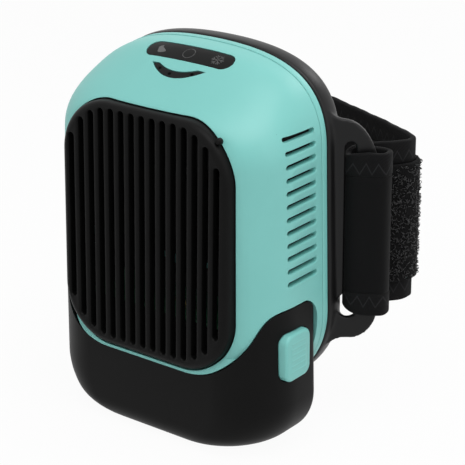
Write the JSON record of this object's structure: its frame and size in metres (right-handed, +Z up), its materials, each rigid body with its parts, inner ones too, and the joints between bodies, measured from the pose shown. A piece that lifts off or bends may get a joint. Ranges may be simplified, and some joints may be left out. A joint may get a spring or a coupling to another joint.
{
  "type": "wearable hot and cold therapy machine",
  "caption": "Wearable hot and cold therapy machine: arched body with front grille, side vents, touch panel, drop-out battery base, winged rubber back and wide elastic strap.",
  "frame": {"origin": "centre of the flat base under the battery pack", "axes": "+Z up towards the dome, -Y out of the front grille, +Y towards the limb, +X to the side with the release button"},
  "size_m": [0.1292, 0.1012, 0.1384],
  "materials": {
    "teal_shell": "satin moulded ABS",
    "black_plastic": "fine matt texture",
    "gloss_lens": "polished tinted lens",
    "circuit_board": "solder mask",
    "fin_aluminium": "extruded and black anodised",
    "plate_aluminium": "fine brushed",
    "steel": "zinc plated",
    "ceramic": "unglazed alumina",
    "foam": "closed-cell foam",
    "black_rubber": "soft-touch silicone",
    "webbing": "woven elastic band",
    "loop_pile": "napped loop pile",
    "cell_wrap": "shrink sleeve",
    "contact_brass": "plated"
  },
  "bodies": {
    "body": {"front_shell": "teal_shell", "rear_shell": "teal_shell", "front_grille": "black_plastic", "control_panel": "gloss_lens", "indicator_window": "gloss_lens", "control_board": "circuit_board", "main_board": "circuit_board", "bay_frame": "black_plastic", "heat_sink": "fin_aluminium", "fan_frame": "black_plastic", "fan_screw_1": "steel", "fan_screw_2": "steel", "fan_screw_3": "steel", "fan_screw_4": "steel", "thermal_module": "ceramic", "therapy_plate": "plate_aluminium", "insulation_pad": "foam", "wing_frame": "black_rubber", "strap": "webbing", "loop_patch": "loop_pile", "rear_screw_1": "steel", "rear_screw_2": "steel", "rear_screw_3": "steel", "rear_screw_4": "steel", "contact_pin_1": "contact_brass", "contact_pin_2": "contact_brass", "contact_pin_3": "contact_brass", "contact_pin_4": "contact_brass"},
    "fan": {"fan_rotor": "black_plastic", "fan_shaft": "steel"},
    "battery_pack": {"contact_pad_1": "contact_brass", "contact_pad_2": "contact_brass", "contact_pad_3": "contact_brass", "contact_pad_4": "contact_brass", "battery_housing": "black_plastic", "battery_cover": "black_plastic", "cell_lower": "cell_wrap", "cell_upper": "cell_wrap", "cell_cradle": "black_plastic", "protection_board": "circuit_board", "charge_socket": "steel", "cover_screw_1": "steel", "cover_screw_2": "steel", "button_spring": "steel"},
    "release_button": {"release_button": "teal_shell"}
  },
  "joints": [
    {"name": "fan_spin", "type": "hinge", "parent": "body", "child": "fan", "pos_m": [0, 0, 0.08602], "axis": [0, -1, 0], "continuous": true},
    {"name": "battery_drop", "type": "slide", "parent": "body", "child": "battery_pack", "axis": [0, 0, -1], "range_m": [0, 0.05]},
    {"name": "button_press", "type": "slide", "parent": "battery_pack", "child": "release_button", "axis": [-1, 0, 0], "range_m": [0, 0.002], "stiffness_N_per_m": 800, "springref_m": -0.0015, "deforming": ["button_spring"]}
  ]
}
